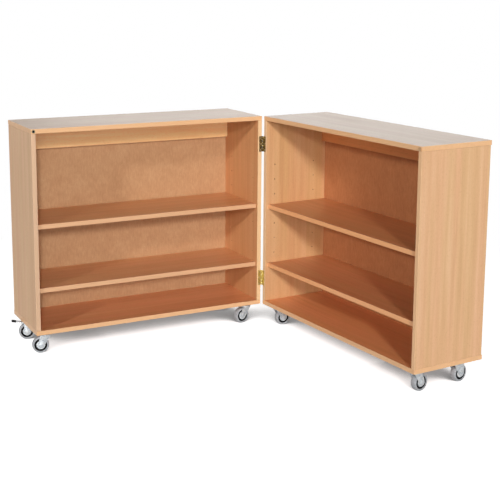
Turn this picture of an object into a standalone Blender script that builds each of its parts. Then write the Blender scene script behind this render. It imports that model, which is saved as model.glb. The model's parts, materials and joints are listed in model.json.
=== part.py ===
"""A hinged mobile bookcase: two open-fronted bookcases on castors, joined by two butt hinges.

Sizes are in metres and +Z is up. Each bookcase is drawn from the hinge line: x runs along the
bookcase away from the hinge line, y runs from the hinge line towards its back, and z runs up
from the floor. A hand of -1 mirrors x for the left bookcase, and +1 keeps it for the right one.
"""

import math

import bmesh
import bpy
from mathutils import Matrix, Vector

# Clearances
FIT = 0.0003
RUNNING_GAP = 0.0003
OVERRUN = 0.002

# Carcass
BOARD = 0.018
CARCASS_WIDTH = 1.000
CARCASS_HEIGHT = 0.820
PANEL_DEPTH = 0.325
SIDE_BACK_STEP = 0.004
EDGE_RADIUS = 0.0008
EDGE_STEPS = 1
BACK_THICKNESS = 0.005
BACK_RECESS = 0.010
GROOVE_DEPTH = 0.008
RAIL_HEIGHT = 0.104

# Shelves and the rows of holes that carry them
SHELF_SETBACK = 0.013
SHELF_END_GAP = 0.0005
SHELF_BACK_GAP = 0.001
HOLE_RADIUS = 0.0025
HOLE_DEPTH = 0.011
HOLE_PITCH = 0.064
LOWEST_HOLE = 0.1655
HOLE_TOP_MARGIN = 0.050
FRONT_HOLE_INSET = 0.045
BACK_HOLE_INSET = 0.080
HOLE_SEGMENTS = 8
PEG_REACH = 0.009
PEG_ROOT = 0.006
SHELF_HOLE_INDEX = {"lower_shelf": 0, "upper_shelf": 4}

# Butt hinges
OPEN_ANGLE = 94.0
HINGE_HEIGHT = 0.065
HINGE_INSET = 0.118
LEAF_THICKNESS = 0.0016
LEAF_REACH = 0.0125
LEAF_HALF_GAP = 0.0009
KNUCKLE_RADIUS = 0.003
KNUCKLE_CLEARANCE = 0.0008
KNUCKLE_COUNT = 5
KNUCKLE_STEPS = 12
HINGE_PIN_RADIUS = 0.0015
HINGE_PIN_PROUD = 0.0005
HINGE_PIN_SEGMENTS = 12
HINGE_SCREW_END_INSET = 0.0075
SCREW_HEAD_RADIUS = 0.0037
SCREW_SHANK_RADIUS = 0.0021
SCREW_SEGMENTS = 10

# Magnetic catch in the outer front corners of the two top panels
CATCH_RADIUS = 0.006
CATCH_LENGTH = 0.012
CATCH_FLANGE_RADIUS = 0.007
CATCH_FLANGE = 0.0012
CATCH_PROUD = 0.0024
CATCH_END_INSET = 0.0095
CATCH_GAP = 0.0004
STRIKE_DOWEL_RADIUS = 0.0025
STRIKE_DOWEL_LENGTH = 0.008
CATCH_SEGMENTS = 14

# Castors
CASTOR_HEIGHT = 0.0875
CASTOR_END_INSET = 0.050
CASTOR_FRONT_INSET = 0.050
CASTOR_BACK_INSET = 0.085
CASTOR_TRAIL = 0.020
TYRE_RADIUS = 0.034
TYRE_HALF_WIDTH = 0.012
TREAD_HALF_WIDTH = 0.0085
SHOULDER_RADIUS = 0.031
TYRE_SEAT_HALF_WIDTH = 0.011
RIM_RADIUS = 0.0246
RIM_HALF_WIDTH = 0.0105
HUB_RADIUS = 0.009
WHEEL_SEGMENTS = 20
AXLE_RADIUS = 0.004
AXLE_HEAD_RADIUS = 0.0065
AXLE_HEAD_PROUD = 0.0015
AXLE_SEGMENTS = 8
FORK_SHEET = 0.0025
FORK_SIDE_GAP = 0.0015
FORK_LEG_HALF_WIDTH = 0.020
FORK_LEG_END_RADIUS = 0.0125
FORK_LEG_STEPS = 7
CROWN_RADIUS = 0.024
CROWN_THICKNESS = 0.006
CROWN_CHAMFER = 0.002
CROWN_SEGMENTS = 14
PLATE_SIZE = 0.060
PLATE_THICKNESS = 0.0025
PLATE_CORNER_RADIUS = 0.006
PLATE_CORNER_STEPS = 2
PLATE_HOLE_PITCH = 0.046
PLATE_HOLE_RADIUS = 0.0026
RACE_TOP_RADIUS = 0.024
RACE_BOTTOM_RADIUS = 0.020
RACE_HEIGHT = 0.0075
KINGPIN_RADIUS = 0.005
KINGPIN_HEAD_RADIUS = 0.008
KINGPIN_HEAD_HEIGHT = 0.0025

# Brake pedal, on the back castors
PEDAL_PIVOT_OUT = 0.0272
PEDAL_PIVOT_HEIGHT = 0.0707
PEDAL_PIVOT_RADIUS = 0.0026
PEDAL_STUB_RADIUS = 0.002
PEDAL_STUB_PROUD = 0.0003
PEDAL_EAR_RADIUS = 0.005
PEDAL_EAR_STEPS = 4
PEDAL_HALF_WIDTH = 0.010
PEDAL_SHEET = 0.002
PEDAL_REACH = 0.055
PEDAL_RISE = 0.009
PEDAL_PAD_LENGTH = 0.018
PEDAL_PAD_THICKNESS = 0.005
PEDAL_SHOE_START = 0.009
PEDAL_SHOE_END = 0.015
PEDAL_SHOE_DROP = 0.0049
PEDAL_SEGMENTS = 8

# Directions in which the wheels trail, in degrees from each bookcase's own x direction
WHEEL_DIRECTIONS = {
    "left_front_outer": 168.0,
    "left_front_hinge": 190.0,
    "left_back_outer": 166.0,
    "left_back_hinge": 180.0,
    "right_front_outer": 97.0,
    "right_front_hinge": 87.0,
    "right_back_outer": 97.0,
    "right_back_hinge": 92.0,
}

# Distances from the hinge line, and levels above the floor
HINGE_FACE_X = KNUCKLE_RADIUS + KNUCKLE_CLEARANCE
OUTER_FACE_X = HINGE_FACE_X + CARCASS_WIDTH
FRONT_Y = FIT + LEAF_THICKNESS + LEAF_HALF_GAP
SIDE_BACK_Y = FRONT_Y + PANEL_DEPTH - SIDE_BACK_STEP
BACK_REAR_Y = SIDE_BACK_Y - BACK_RECESS
BACK_FACE_Y = BACK_REAR_Y - BACK_THICKNESS
CARCASS_BOTTOM = CASTOR_HEIGHT
CARCASS_TOP = CASTOR_HEIGHT + CARCASS_HEIGHT
INSIDE_BOTTOM = CARCASS_BOTTOM + BOARD
INSIDE_TOP = CARCASS_TOP - BOARD
INSIDE_HINGE_X = HINGE_FACE_X + BOARD
INSIDE_OUTER_X = OUTER_FACE_X - BOARD
CATCH_X = OUTER_FACE_X - CATCH_END_INSET
CATCH_Z = CARCASS_TOP - BOARD / 2
STRIKE_THICKNESS = 2 * FRONT_Y - CATCH_PROUD - CATCH_GAP

# Levels inside a castor, from the carcass down to the axle
PLATE_TOP = CARCASS_BOTTOM - FIT
PLATE_BOTTOM = PLATE_TOP - PLATE_THICKNESS
RACE_BOTTOM = PLATE_BOTTOM - RACE_HEIGHT
CROWN_TOP = RACE_BOTTOM - RUNNING_GAP
CROWN_BOTTOM = CROWN_TOP - CROWN_THICKNESS
CROWN_MIDDLE = CROWN_TOP - CROWN_THICKNESS / 2
KINGPIN_HEAD_TOP = CROWN_BOTTOM - RUNNING_GAP
AXLE_HEIGHT = TYRE_RADIUS * math.cos(math.pi / WHEEL_SEGMENTS)
LEG_INNER_Y = TYRE_HALF_WIDTH + FORK_SIDE_GAP
LEG_OUTER_Y = LEG_INNER_Y + FORK_SHEET


def clear_scene():
    for old in list(bpy.data.objects):
        bpy.data.objects.remove(old, do_unlink=True)


def material(name, colour, roughness, metallic):
    made = bpy.data.materials.new(name)
    made.use_nodes = True
    shader = made.node_tree.nodes["Principled BSDF"]
    shader.inputs["Base Color"].default_value = (*colour, 1.0)
    shader.inputs["Roughness"].default_value = roughness
    shader.inputs["Metallic"].default_value = metallic
    made.diffuse_color = (*colour, 1.0)
    return made


def frame(name, location, turn, parent):
    """An empty that carries pieces; turn is about the vertical, in radians."""
    empty = bpy.data.objects.new(name, None)
    bpy.context.collection.objects.link(empty)
    empty.location = location
    empty.rotation_euler = (0, 0, turn)
    empty.parent = parent
    return empty


def shape(name, form, parent, origin):
    """Turn a form drawn in the parent's frame into an object whose origin is the given point."""
    bmesh.ops.translate(form, verts=form.verts, vec=-Vector(origin))
    bmesh.ops.recalc_face_normals(form, faces=form.faces)
    mesh = bpy.data.meshes.new(name)
    form.to_mesh(mesh)
    form.free()
    made = bpy.data.objects.new(name, mesh)
    bpy.context.collection.objects.link(made)
    made.parent = parent
    made.location = origin
    return made


def piece(name, form, finish, parent, origin, smooth=False):
    made = shape(name, form, parent, origin)
    made.data.materials.append(finish)
    if smooth:
        made.data.shade_smooth()
        made.data.set_sharp_from_angle(angle=math.radians(40.0))
    return made


def combine(target, form, operation):
    """Cut a form out of the target, or join it on; the form is drawn in the parent's frame."""
    helper = shape(f"{target.name}_{operation.lower()}", form, target.parent, target.location)
    helper.hide_render = True
    helper.display_type = 'WIRE'
    change = target.modifiers.new(operation.lower(), 'BOOLEAN')
    change.operation = operation
    change.solver = 'EXACT'
    change.object = helper


def round_edges(target):
    bevel = target.modifiers.new("rounded_edges", 'BEVEL')
    bevel.width = EDGE_RADIUS
    bevel.segments = EDGE_STEPS
    bevel.limit_method = 'ANGLE'


def add_box(form, low, high):
    """Add a box to a form, between two corners given in any order."""
    centre = (Vector(low) + Vector(high)) / 2
    size = [abs(b - a) for a, b in zip(low, high)]
    place = Matrix.Translation(centre) @ Matrix.Diagonal((*size, 1))
    bmesh.ops.create_cube(form, size=1, matrix=place)


def box(low, high):
    form = bmesh.new()
    add_box(form, low, high)
    return form


def add_rod(form, start, end, radius, end_radius, segments):
    """Add a round rod or cone between two points."""
    start, end = Vector(start), Vector(end)
    run = end - start
    place = Matrix.Translation((start + end) / 2) @ run.to_track_quat('Z', 'Y').to_matrix().to_4x4()
    bmesh.ops.create_cone(form, cap_ends=True, segments=segments, radius1=radius,
                          radius2=end_radius, depth=run.length, matrix=place)


def turned(profile, segments, centre, across=False):
    """Turn a profile of (radius, height) points about a vertical axis, or about y if across.

    A profile that starts and ends on the axis makes a solid body; any other is closed into a
    ring. The half step puts a flat, not a corner, at the bottom of a wheel.
    """
    form = bmesh.new()
    rings = []
    for radius, height in profile:
        count = segments if radius > 0 else 1
        angles = [2 * math.pi * (step + 0.5) / segments for step in range(count)]
        rings.append([form.verts.new((radius * math.cos(a), radius * math.sin(a), height))
                      for a in angles])
    if profile[0][0] > 0:
        rings.append(rings[0])
    for lower, upper in zip(rings, rings[1:]):
        for step in range(segments):
            after = (step + 1) % segments
            if len(lower) == 1:
                form.faces.new((lower[0], upper[after], upper[step]))
            elif len(upper) == 1:
                form.faces.new((lower[step], lower[after], upper[0]))
            else:
                form.faces.new((lower[step], lower[after], upper[after], upper[step]))
    if across:
        bmesh.ops.rotate(form, verts=form.verts, matrix=Matrix.Rotation(math.pi / 2, 3, 'X'))
    bmesh.ops.translate(form, verts=form.verts, vec=Vector(centre))
    return form


def add_prism(form, outline, corner, side):
    """Add a prism to a form; corner(point, level) gives a corner, side its two levels."""
    ends = [[form.verts.new(corner(point, level)) for point in outline] for level in side]
    form.faces.new(ends[0])
    form.faces.new(ends[1])
    for here in range(len(outline)):
        after = (here + 1) % len(outline)
        form.faces.new((ends[0][here], ends[0][after], ends[1][after], ends[1][here]))


def upright(point, level):
    """A plan outline, raised to a level."""
    return (point[0], point[1], level)


def sideways(point, level):
    """An outline seen from the side of a castor, at a distance across it."""
    return (point[0], level, point[1])


def arc(centre, radius, start, end, steps):
    """Points along an arc; the angles are in radians."""
    angles = [start + (end - start) * step / steps for step in range(steps + 1)]
    return [(centre[0] + radius * math.cos(a), centre[1] + radius * math.sin(a)) for a in angles]


def tangent_angle(point, centre, radius, turn):
    """The angle at which a line from a point touches a circle, on the side given by turn."""
    away = Vector(point) - Vector(centre)
    return math.atan2(away.y, away.x) + turn * math.acos(radius / away.length)


def board(name, hand, x_span, y_span, z_span, finish, parent):
    """One flat board, given by its spans from the hinge line and the floor."""
    low = (hand * x_span[0], y_span[0], z_span[0])
    high = (hand * x_span[1], y_span[1], z_span[1])
    made = piece(name, box(low, high), finish, parent, (Vector(low) + Vector(high)) / 2)
    round_edges(made)
    return made


def back_groove(hand):
    """The slot that holds the back panel in the two sides and in the top and bottom panels."""
    low = (hand * (INSIDE_HINGE_X - GROOVE_DEPTH - FIT), BACK_FACE_Y - FIT,
           INSIDE_BOTTOM - GROOVE_DEPTH - FIT)
    high = (hand * (INSIDE_OUTER_X + GROOVE_DEPTH + FIT), BACK_REAR_Y + FIT,
            INSIDE_TOP + GROOVE_DEPTH + FIT)
    return box(low, high)


def hole_levels():
    """Heights of the shelf holes above the floor."""
    room = CARCASS_HEIGHT - BOARD - RAIL_HEIGHT - HOLE_TOP_MARGIN - LOWEST_HOLE
    count = int(room / HOLE_PITCH) + 1
    return [CARCASS_BOTTOM + LOWEST_HOLE + HOLE_PITCH * index for index in range(count)]


def side_panel(name, hand, inner_x, outer_x, finish, parent):
    """A side board with its groove, its rows of shelf holes and the pegs that carry shelves."""
    levels = (INSIDE_BOTTOM + FIT, INSIDE_TOP - FIT)
    made = board(name, hand, (inner_x, outer_x), (FRONT_Y, SIDE_BACK_Y), levels, finish, parent)
    into_board = math.copysign(1, outer_x - inner_x)
    holes = bmesh.new()
    pegs = bmesh.new()
    for column in (FRONT_HOLE_INSET, PANEL_DEPTH - BACK_HOLE_INSET):
        for index, level in enumerate(hole_levels()):
            y = FRONT_Y + column
            if index in SHELF_HOLE_INDEX.values():
                root = (hand * (inner_x + into_board * PEG_ROOT), y, level)
                tip = (hand * (inner_x - into_board * PEG_REACH), y, level)
                add_rod(pegs, root, tip, HOLE_RADIUS, HOLE_RADIUS, HOLE_SEGMENTS)
            else:
                bottom = (hand * (inner_x + into_board * HOLE_DEPTH), y, level)
                mouth = (hand * (inner_x - into_board * OVERRUN), y, level)
                add_rod(holes, bottom, mouth, HOLE_RADIUS, HOLE_RADIUS, HOLE_SEGMENTS)
    combine(made, holes, 'DIFFERENCE')
    groove = box((hand * (inner_x - into_board * OVERRUN), BACK_FACE_Y - FIT, levels[0] - OVERRUN),
                 (hand * (inner_x + into_board * (GROOVE_DEPTH + FIT)), BACK_REAR_Y + FIT,
                  levels[1] + OVERRUN))
    combine(made, groove, 'DIFFERENCE')
    combine(made, pegs, 'UNION')
    return made


def carcass(side, hand, wood, hardboard, parent):
    """The eight boards of one bookcase."""
    full_x = (HINGE_FACE_X, OUTER_FACE_X)
    full_y = (FRONT_Y, FRONT_Y + PANEL_DEPTH)
    top = board(f"{side}_top_panel", hand, full_x, full_y, (INSIDE_TOP, CARCASS_TOP), wood, parent)
    bottom = board(f"{side}_bottom_panel", hand, full_x, full_y, (CARCASS_BOTTOM, INSIDE_BOTTOM),
                   wood, parent)
    for panel in (top, bottom):
        combine(panel, back_groove(hand), 'DIFFERENCE')
    side_panel(f"{side}_outer_side", hand, INSIDE_OUTER_X, OUTER_FACE_X, wood, parent)
    side_panel(f"{side}_hinge_side", hand, INSIDE_HINGE_X, HINGE_FACE_X, wood, parent)
    back_x = (INSIDE_HINGE_X - GROOVE_DEPTH, INSIDE_OUTER_X + GROOVE_DEPTH)
    back_z = (INSIDE_BOTTOM - GROOVE_DEPTH, INSIDE_TOP + GROOVE_DEPTH)
    board(f"{side}_back_panel", hand, back_x, (BACK_FACE_Y, BACK_REAR_Y), back_z, hardboard, parent)
    rail_x = (INSIDE_HINGE_X + FIT, INSIDE_OUTER_X - FIT)
    rail_y = (BACK_FACE_Y - FIT - BOARD, BACK_FACE_Y - FIT)
    rail_z = (INSIDE_TOP - FIT - RAIL_HEIGHT, INSIDE_TOP - FIT)
    board(f"{side}_top_rail", hand, rail_x, rail_y, rail_z, wood, parent)
    shelf_x = (INSIDE_HINGE_X + SHELF_END_GAP, INSIDE_OUTER_X - SHELF_END_GAP)
    shelf_y = (FRONT_Y + SHELF_SETBACK, BACK_FACE_Y - SHELF_BACK_GAP)
    for name, index in SHELF_HOLE_INDEX.items():
        underside = hole_levels()[index] + HOLE_RADIUS + FIT
        shelf_z = (underside, underside + BOARD)
        board(f"{side}_{name}", hand, shelf_x, shelf_y, shelf_z, wood, parent)
    return top


def leaf_outline(hand):
    """Plan of one hinge leaf: a flat plate that rolls into the knuckle round the hinge line."""
    front = FRONT_Y - FIT - LEAF_THICKNESS
    back = FRONT_Y - FIT
    end = HINGE_FACE_X + LEAF_REACH
    start_angle = math.asin(front / KNUCKLE_RADIUS)
    end_angle = math.asin(back / KNUCKLE_RADIUS) - 2 * math.pi
    roll = arc((0, 0), KNUCKLE_RADIUS, start_angle, end_angle, KNUCKLE_STEPS)
    points = [(end, back), (end, front)] + roll
    return [(hand * x, y) for x, y in points]


def hinge_leaf(name, hand, middle, brass, parent):
    """A leaf keeps every second knuckle; the left one has the end knuckles."""
    low = middle - HINGE_HEIGHT / 2
    form = bmesh.new()
    add_prism(form, leaf_outline(hand), upright, (low, low + HINGE_HEIGHT))
    made = piece(name, form, brass, parent, (0, 0, middle), smooth=True)
    knuckle = HINGE_HEIGHT / KNUCKLE_COUNT
    first_slot = 1 if hand < 0 else 0
    slots = bmesh.new()
    for index in range(first_slot, KNUCKLE_COUNT, 2):
        below = OVERRUN if index == 0 else RUNNING_GAP / 2
        above = OVERRUN if index == KNUCKLE_COUNT - 1 else RUNNING_GAP / 2
        near = (hand * (KNUCKLE_RADIUS + RUNNING_GAP), -KNUCKLE_RADIUS - OVERRUN,
                low + knuckle * index - below)
        far = (-hand * (KNUCKLE_RADIUS + OVERRUN), KNUCKLE_RADIUS + OVERRUN,
               low + knuckle * (index + 1) + above)
        add_box(slots, near, far)
    combine(made, slots, 'DIFFERENCE')
    bore = bmesh.new()
    add_rod(bore, (0, 0, low - OVERRUN), (0, 0, low + HINGE_HEIGHT + OVERRUN),
            HINGE_PIN_RADIUS + RUNNING_GAP, HINGE_PIN_RADIUS + RUNNING_GAP, HINGE_PIN_SEGMENTS)
    combine(made, bore, 'DIFFERENCE')
    screws = bmesh.new()
    slope = (SCREW_HEAD_RADIUS - SCREW_SHANK_RADIUS) / LEAF_THICKNESS
    over = LEAF_THICKNESS / 2
    front = FRONT_Y - FIT - LEAF_THICKNESS
    pitch = HINGE_HEIGHT / 2 - HINGE_SCREW_END_INSET
    for step in (-1, 0, 1):
        x = hand * (HINGE_FACE_X + LEAF_REACH / 2)
        z = middle + pitch * step
        add_rod(screws, (x, front - over, z), (x, front + LEAF_THICKNESS + over, z),
                SCREW_HEAD_RADIUS + slope * over, SCREW_SHANK_RADIUS - slope * over,
                SCREW_SEGMENTS)
    combine(made, screws, 'DIFFERENCE')


def hinge(name, middle, brass, left, right):
    hinge_leaf(f"{name}_left_leaf", -1, middle, brass, left)
    hinge_leaf(f"{name}_right_leaf", 1, middle, brass, right)
    form = bmesh.new()
    reach = HINGE_HEIGHT / 2 + HINGE_PIN_PROUD
    add_rod(form, (0, 0, middle - reach), (0, 0, middle + reach), HINGE_PIN_RADIUS,
            HINGE_PIN_RADIUS, HINGE_PIN_SEGMENTS)
    piece(f"{name}_pin", form, brass, left, (0, 0, middle), smooth=True)


def catch(left_top, right_top, left, right, magnet_finish, strike_finish):
    """A round magnet let into the left top panel, and the steel strike that it meets."""
    nose = FRONT_Y - CATCH_PROUD
    flange_back = FRONT_Y - FIT
    magnet = [(0, nose), (CATCH_RADIUS, nose), (CATCH_RADIUS, flange_back - CATCH_FLANGE),
              (CATCH_FLANGE_RADIUS, flange_back - CATCH_FLANGE), (CATCH_FLANGE_RADIUS, flange_back),
              (CATCH_RADIUS, flange_back), (CATCH_RADIUS, nose + CATCH_LENGTH),
              (0, nose + CATCH_LENGTH)]
    magnet = [(radius, -depth) for radius, depth in magnet]
    place = (-CATCH_X, 0, CATCH_Z)
    piece("left_catch_magnet", turned(magnet, CATCH_SEGMENTS, place, across=True), magnet_finish,
          left, place, smooth=True)
    pocket = bmesh.new()
    add_rod(pocket, (-CATCH_X, FRONT_Y - OVERRUN, CATCH_Z),
            (-CATCH_X, nose + CATCH_LENGTH + FIT, CATCH_Z), CATCH_RADIUS + FIT, CATCH_RADIUS + FIT,
            CATCH_SEGMENTS)
    combine(left_top, pocket, 'DIFFERENCE')
    face = flange_back - STRIKE_THICKNESS
    root = FRONT_Y + STRIKE_DOWEL_LENGTH
    strike = [(0, face), (CATCH_FLANGE_RADIUS, face), (CATCH_FLANGE_RADIUS, flange_back),
              (STRIKE_DOWEL_RADIUS, flange_back), (STRIKE_DOWEL_RADIUS, root), (0, root)]
    strike = [(radius, -depth) for radius, depth in strike]
    place = (CATCH_X, 0, CATCH_Z)
    piece("right_catch_strike", turned(strike, CATCH_SEGMENTS, place, across=True), strike_finish,
          right, place, smooth=True)
    pocket = bmesh.new()
    add_rod(pocket, (CATCH_X, FRONT_Y - OVERRUN, CATCH_Z), (CATCH_X, root + FIT, CATCH_Z),
            STRIKE_DOWEL_RADIUS + FIT, STRIKE_DOWEL_RADIUS + FIT, CATCH_SEGMENTS)
    combine(right_top, pocket, 'DIFFERENCE')


def castor_plate(name, zinc, parent, axis):
    """Top plate, upper ball race and the riveted kingpin that the fork turns on."""
    form = bmesh.new()
    straight = PLATE_SIZE / 2 - PLATE_CORNER_RADIUS
    quarter = math.pi / 2
    outline = []
    for corner in range(4):
        start = corner * quarter
        middle = start + quarter / 2
        centre = (math.copysign(straight, math.cos(middle)), math.copysign(straight, math.sin(middle)))
        outline += arc(centre, PLATE_CORNER_RADIUS, start, start + quarter, PLATE_CORNER_STEPS)
    add_prism(form, outline, upright, (PLATE_BOTTOM, PLATE_TOP))
    bmesh.ops.translate(form, verts=form.verts, vec=(axis[0], axis[1], 0))
    made = piece(name, form, zinc, parent, (axis[0], axis[1], PLATE_TOP), smooth=True)
    head_bottom = KINGPIN_HEAD_TOP - KINGPIN_HEAD_HEIGHT
    race = [(0, PLATE_BOTTOM + PLATE_THICKNESS / 2),
            (RACE_TOP_RADIUS, PLATE_BOTTOM + PLATE_THICKNESS / 2), (RACE_BOTTOM_RADIUS, RACE_BOTTOM),
            (KINGPIN_RADIUS, RACE_BOTTOM), (KINGPIN_RADIUS, KINGPIN_HEAD_TOP),
            (KINGPIN_HEAD_RADIUS, KINGPIN_HEAD_TOP), (KINGPIN_HEAD_RADIUS, head_bottom),
            (0, head_bottom)]
    combine(made, turned(race, CROWN_SEGMENTS, (axis[0], axis[1], 0)), 'UNION')
    holes = bmesh.new()
    for x_side in (-1, 1):
        for y_side in (-1, 1):
            x = axis[0] + x_side * PLATE_HOLE_PITCH / 2
            y = axis[1] + y_side * PLATE_HOLE_PITCH / 2
            add_rod(holes, (x, y, PLATE_BOTTOM - OVERRUN), (x, y, PLATE_TOP + OVERRUN),
                    PLATE_HOLE_RADIUS, PLATE_HOLE_RADIUS, HOLE_SEGMENTS)
    combine(made, holes, 'DIFFERENCE')


def leg_outline(braked):
    """Side view of a fork leg, which tapers from the crown to a round end at the axle."""
    axle = (CASTOR_TRAIL, AXLE_HEIGHT)
    front_top = (-FORK_LEG_HALF_WIDTH, CROWN_MIDDLE)
    back_top = (FORK_LEG_HALF_WIDTH, CROWN_MIDDLE)
    ear = (PEDAL_PIVOT_OUT, PEDAL_PIVOT_HEIGHT)
    back_from = (ear[0] + PEDAL_EAR_RADIUS, ear[1]) if braked else back_top
    start = tangent_angle(front_top, axle, FORK_LEG_END_RADIUS, 1)
    end = tangent_angle(back_from, axle, FORK_LEG_END_RADIUS, -1) + 2 * math.pi
    points = [front_top] + arc(axle, FORK_LEG_END_RADIUS, start, end, FORK_LEG_STEPS)
    if braked:
        points += arc(ear, PEDAL_EAR_RADIUS, 0, math.pi / 2, PEDAL_EAR_STEPS)
    return points + [back_top]


def castor_fork(name, braked, zinc, parent):
    """Crown, two legs and the riveted axle of a castor."""
    bore = KINGPIN_RADIUS + RUNNING_GAP
    crown = [(bore, CROWN_BOTTOM), (CROWN_RADIUS, CROWN_BOTTOM),
             (CROWN_RADIUS, CROWN_TOP - CROWN_CHAMFER), (CROWN_RADIUS - CROWN_CHAMFER, CROWN_TOP),
             (bore, CROWN_TOP)]
    made = piece(name, turned(crown, CROWN_SEGMENTS, (0, 0, 0)), zinc, parent,
                 (0, 0, CROWN_BOTTOM), smooth=True)
    legs = bmesh.new()
    for across in (-1, 1):
        span = (across * LEG_INNER_Y, across * LEG_OUTER_Y)
        add_prism(legs, leg_outline(braked), sideways, span)
    combine(made, legs, 'UNION')
    end = LEG_OUTER_Y + AXLE_HEAD_PROUD
    step = LEG_OUTER_Y - FORK_SHEET / 2
    axle = [(0, -end), (AXLE_HEAD_RADIUS, -end), (AXLE_HEAD_RADIUS, -step), (AXLE_RADIUS, -step),
            (AXLE_RADIUS, step), (AXLE_HEAD_RADIUS, step), (AXLE_HEAD_RADIUS, end), (0, end)]
    combine(made, turned(axle, AXLE_SEGMENTS, (CASTOR_TRAIL, 0, AXLE_HEIGHT), across=True), 'UNION')
    if braked:
        holes = bmesh.new()
        reach = LEG_OUTER_Y + OVERRUN
        add_rod(holes, (PEDAL_PIVOT_OUT, -reach, PEDAL_PIVOT_HEIGHT),
                (PEDAL_PIVOT_OUT, reach, PEDAL_PIVOT_HEIGHT), PEDAL_STUB_RADIUS + RUNNING_GAP,
                PEDAL_STUB_RADIUS + RUNNING_GAP, PEDAL_SEGMENTS)
        combine(made, holes, 'DIFFERENCE')


def castor_wheel(name, hub_finish, tyre_finish, parent):
    """The wheel centre on its axle, and the tyre round it."""
    axle = (CASTOR_TRAIL, 0, AXLE_HEIGHT)
    bore = AXLE_RADIUS + RUNNING_GAP
    hub_end = LEG_INNER_Y - RUNNING_GAP
    half_hub = [(bore, hub_end), (HUB_RADIUS, hub_end), (HUB_RADIUS, RIM_HALF_WIDTH),
                (RIM_RADIUS, RIM_HALF_WIDTH)]
    hub = half_hub + [(radius, -side) for radius, side in reversed(half_hub)]
    piece(f"{name}_hub", turned(hub, WHEEL_SEGMENTS, axle, across=True), hub_finish, parent, axle,
          smooth=True)
    seat = RIM_RADIUS + FIT
    half_tyre = [(seat, TYRE_SEAT_HALF_WIDTH), (SHOULDER_RADIUS, TYRE_HALF_WIDTH),
                 (TYRE_RADIUS, TREAD_HALF_WIDTH)]
    tyre = half_tyre + [(radius, -side) for radius, side in reversed(half_tyre)]
    piece(f"{name}_tyre", turned(tyre, WHEEL_SEGMENTS, axle, across=True), tyre_finish, parent,
          axle, smooth=True)


def brake_pedal(name, steel, parent):
    """A foot lever on stub pins in the fork's ears; its shoe comes down on the tyre."""
    pivot = (PEDAL_PIVOT_OUT, 0, PEDAL_PIVOT_HEIGHT)
    slope = PEDAL_RISE / PEDAL_REACH
    pad_start = PEDAL_REACH - PEDAL_PAD_LENGTH
    half_sheet = PEDAL_SHEET / 2
    half_pad = PEDAL_PAD_THICKNESS / 2

    def along(out, drop):
        return (pivot[0] + out, pivot[2] + slope * out + drop)

    shoe = pivot[2] - PEDAL_SHOE_DROP
    outline = [along(0, half_sheet), along(pad_start, half_sheet), along(pad_start, half_pad),
               along(PEDAL_REACH, half_pad), along(PEDAL_REACH, -half_pad),
               along(pad_start, -half_pad), along(pad_start, -half_sheet),
               along(PEDAL_SHOE_END, -half_sheet), (pivot[0] + PEDAL_SHOE_END, shoe),
               (pivot[0] + PEDAL_SHOE_START, shoe), along(PEDAL_SHOE_START, -half_sheet),
               along(0, -half_sheet)]
    form = bmesh.new()
    add_prism(form, outline, sideways, (-PEDAL_HALF_WIDTH, PEDAL_HALF_WIDTH))
    made = piece(name, form, steel, parent, pivot, smooth=True)
    barrel = LEG_INNER_Y - RUNNING_GAP
    stub = LEG_OUTER_Y + PEDAL_STUB_PROUD
    rod = [(0, -stub), (PEDAL_STUB_RADIUS, -stub), (PEDAL_STUB_RADIUS, -barrel),
           (PEDAL_PIVOT_RADIUS, -barrel), (PEDAL_PIVOT_RADIUS, barrel), (PEDAL_STUB_RADIUS, barrel),
           (PEDAL_STUB_RADIUS, stub), (0, stub)]
    combine(made, turned(rod, PEDAL_SEGMENTS, pivot, across=True), 'UNION')


def castor(name, hand, inset, depth, braked, finishes, parent):
    """One swivel castor; the wheel trails along its frame's x direction."""
    axis = (hand * inset, FRONT_Y + depth)
    castor_plate(f"{name}_castor_plate", finishes["zinc"], parent, axis)
    turn = math.radians(WHEEL_DIRECTIONS[name])
    swivel = frame(f"{name}_castor_swivel", (axis[0], axis[1], 0), turn, parent)
    castor_fork(f"{name}_castor_fork", braked, finishes["zinc"], swivel)
    castor_wheel(f"{name}_castor", finishes["hub"], finishes["tyre"], swivel)
    if braked:
        brake_pedal(f"{name}_brake_pedal", finishes["pedal"], swivel)


def castors(side, hand, finishes, parent):
    ends = {"outer": OUTER_FACE_X - CASTOR_END_INSET, "hinge": HINGE_FACE_X + CASTOR_END_INSET}
    rows = {"front": CASTOR_FRONT_INSET, "back": PANEL_DEPTH - CASTOR_BACK_INSET}
    for row, depth in rows.items():
        for end, inset in ends.items():
            castor(f"{side}_{row}_{end}", hand, inset, depth, row == "back", finishes, parent)


def centre_on_floor(root):
    """Move the whole bookcase so that the origin is at the middle of its footprint."""
    bpy.context.view_layer.update()
    ready = bpy.context.evaluated_depsgraph_get()
    corners = []
    for thing in bpy.data.objects:
        if thing.type == 'MESH' and not thing.hide_render:
            shown = thing.evaluated_get(ready)
            corners += [thing.matrix_world @ Vector(corner) for corner in shown.bound_box]
    for axis in (0, 1):
        places = [corner[axis] for corner in corners]
        root.location[axis] = -(min(places) + max(places)) / 2
    root.location[2] = -min(corner[2] for corner in corners)
    bpy.context.view_layer.update()


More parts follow.
